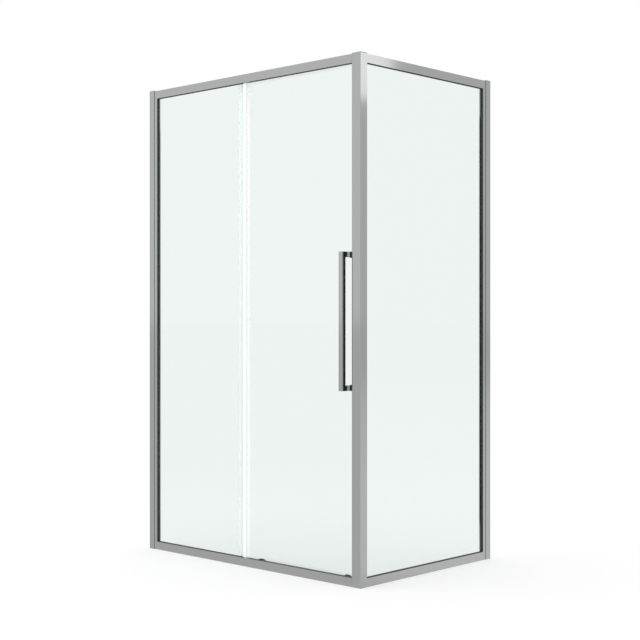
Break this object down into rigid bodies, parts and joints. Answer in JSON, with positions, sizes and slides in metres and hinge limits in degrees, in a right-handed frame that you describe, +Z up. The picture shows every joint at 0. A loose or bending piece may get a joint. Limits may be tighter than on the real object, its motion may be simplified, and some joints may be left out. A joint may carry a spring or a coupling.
{
  "type": "shower enclosure",
  "caption": "Corner shower enclosure: framed front with a fixed pane and a glass door that slides on grooved rollers, a framed side pane, a bar handle and sprung bottom rollers.",
  "frame": {"origin": "middle of the whole outline, handle included, at the level of the tray", "axes": "+X along the front towards the corner post, +Y from the front inwards, +Z up"},
  "size_m": [1.1998, 0.828, 1.95],
  "materials": {
    "polished_aluminium": "polished",
    "clear_glass": "clear toughened",
    "black_rubber": "matt",
    "clear_pvc": "translucent",
    "grey_plastic": "moulded",
    "dark_plastic": "moulded",
    "white_nylon": "moulded",
    "stainless_steel": "bright",
    "chrome": "polished",
    "magnet": "plastic-bonded magnet"
  },
  "bodies": {
    "frame": {"front_wall_channel": "polished_aluminium", "front_wall_jamb": "polished_aluminium", "front_top_rail": "polished_aluminium", "front_bottom_rail": "polished_aluminium", "corner_post": "polished_aluminium", "post_cover_strip": "polished_aluminium", "side_wall_channel": "polished_aluminium", "side_wall_jamb": "polished_aluminium", "side_top_rail": "polished_aluminium", "side_bottom_rail": "polished_aluminium", "fixed_glass": "clear_glass", "side_glass": "clear_glass", "fixed_outer_gasket": "black_rubber", "fixed_inner_gasket": "black_rubber", "side_outer_gasket": "black_rubber", "side_inner_gasket": "black_rubber", "setting_blocks": "black_rubber", "fixed_edge_seal": "clear_pvc", "post_magnet_strip": "clear_pvc", "front_channel_cap": "grey_plastic", "side_channel_cap": "grey_plastic", "corner_post_cap": "grey_plastic", "channel_screw_caps": "grey_plastic", "top_rail_infill": "dark_plastic", "bottom_rail_infill": "dark_plastic", "door_stops": "dark_plastic", "side_rail_connectors": "dark_plastic", "rail_screws": "stainless_steel", "channel_screws": "stainless_steel", "post_magnet_bar": "magnet"},
    "door": {"door_closing_seal": "clear_pvc", "door_trailing_seal": "clear_pvc", "door_magnet_bar": "magnet", "door_glass": "clear_glass", "door_handle": "chrome", "handle_washers": "clear_pvc", "handle_inner_caps": "chrome", "handle_bolts": "stainless_steel", "roller_caps": "chrome", "roller_bolts": "stainless_steel", "top_wheel_pins": "stainless_steel", "top_roller_bracket_left": "stainless_steel", "top_roller_bracket_right": "stainless_steel", "bottom_roller_housing_left": "stainless_steel", "bottom_roller_housing_right": "stainless_steel", "release_spring_left": "stainless_steel", "release_spring_right": "stainless_steel"},
    "carriage_left": {"release_carriage_left": "dark_plastic", "bottom_wheel_pins_left": "stainless_steel"},
    "carriage_right": {"release_carriage_right": "dark_plastic", "bottom_wheel_pins_right": "stainless_steel"},
    "top_wheel_left_a": {"top_wheel_left_a": "white_nylon"},
    "top_wheel_left_b": {"top_wheel_left_b": "white_nylon"},
    "top_wheel_right_a": {"top_wheel_right_a": "white_nylon"},
    "top_wheel_right_b": {"top_wheel_right_b": "white_nylon"},
    "bottom_wheel_left_a": {"bottom_wheel_left_a": "white_nylon"},
    "bottom_wheel_left_b": {"bottom_wheel_left_b": "white_nylon"},
    "bottom_wheel_right_a": {"bottom_wheel_right_a": "white_nylon"},
    "bottom_wheel_right_b": {"bottom_wheel_right_b": "white_nylon"}
  },
  "joints": [
    {"name": "door_slide", "type": "slide", "parent": "frame", "child": "door", "axis": [-1, 0, 0], "range_m": [0, 0.47]},
    {"name": "release_left", "type": "slide", "parent": "door", "child": "carriage_left", "axis": [0, 0, -1], "range_m": [0, 0.003], "stiffness_N_per_m": 800, "springref_m": -0.004, "deforming": ["release_spring_left"]},
    {"name": "release_right", "type": "slide", "parent": "door", "child": "carriage_right", "axis": [0, 0, -1], "range_m": [0, 0.003], "stiffness_N_per_m": 800, "springref_m": -0.004, "deforming": ["release_spring_right"]},
    {"name": "top_wheel_left_a_spin", "type": "hinge", "parent": "door", "child": "top_wheel_left_a", "pos_m": [0.0461, -0.3635, 1.9308], "axis": [0, 1, 0], "continuous": true},
    {"name": "top_wheel_left_b_spin", "type": "hinge", "parent": "door", "child": "top_wheel_left_b", "pos_m": [0.0721, -0.3635, 1.9308], "axis": [0, 1, 0], "continuous": true},
    {"name": "top_wheel_right_a_spin", "type": "hinge", "parent": "door", "child": "top_wheel_right_a", "pos_m": [0.5011, -0.3635, 1.9308], "axis": [0, 1, 0], "continuous": true},
    {"name": "top_wheel_right_b_spin", "type": "hinge", "parent": "door", "child": "top_wheel_right_b", "pos_m": [0.5271, -0.3635, 1.9308], "axis": [0, 1, 0], "continuous": true},
    {"name": "bottom_wheel_left_a_spin", "type": "hinge", "parent": "carriage_left", "child": "bottom_wheel_left_a", "pos_m": [0.0481, -0.3635, 0.0182], "axis": [0, 1, 0], "continuous": true},
    {"name": "bottom_wheel_left_b_spin", "type": "hinge", "parent": "carriage_left", "child": "bottom_wheel_left_b", "pos_m": [0.0701, -0.3635, 0.0182], "axis": [0, 1, 0], "continuous": true},
    {"name": "bottom_wheel_right_a_spin", "type": "hinge", "parent": "carriage_right", "child": "bottom_wheel_right_a", "pos_m": [0.5031, -0.3635, 0.0182], "axis": [0, 1, 0], "continuous": true},
    {"name": "bottom_wheel_right_b_spin", "type": "hinge", "parent": "carriage_right", "child": "bottom_wheel_right_b", "pos_m": [0.5251, -0.3635, 0.0182], "axis": [0, 1, 0], "continuous": true}
  ],
  "couplings": [
    {"joint": "top_wheel_left_a_spin", "follows": "door_slide", "rad_per_m": -117.65},
    {"joint": "top_wheel_left_b_spin", "follows": "door_slide", "rad_per_m": -117.65},
    {"joint": "top_wheel_right_a_spin", "follows": "door_slide", "rad_per_m": -117.65},
    {"joint": "top_wheel_right_b_spin", "follows": "door_slide", "rad_per_m": -117.65},
    {"joint": "bottom_wheel_left_a_spin", "follows": "door_slide", "rad_per_m": 153.85},
    {"joint": "bottom_wheel_left_b_spin", "follows": "door_slide", "rad_per_m": 153.85},
    {"joint": "bottom_wheel_right_a_spin", "follows": "door_slide", "rad_per_m": 153.85},
    {"joint": "bottom_wheel_right_b_spin", "follows": "door_slide", "rad_per_m": 153.85}
  ]
}
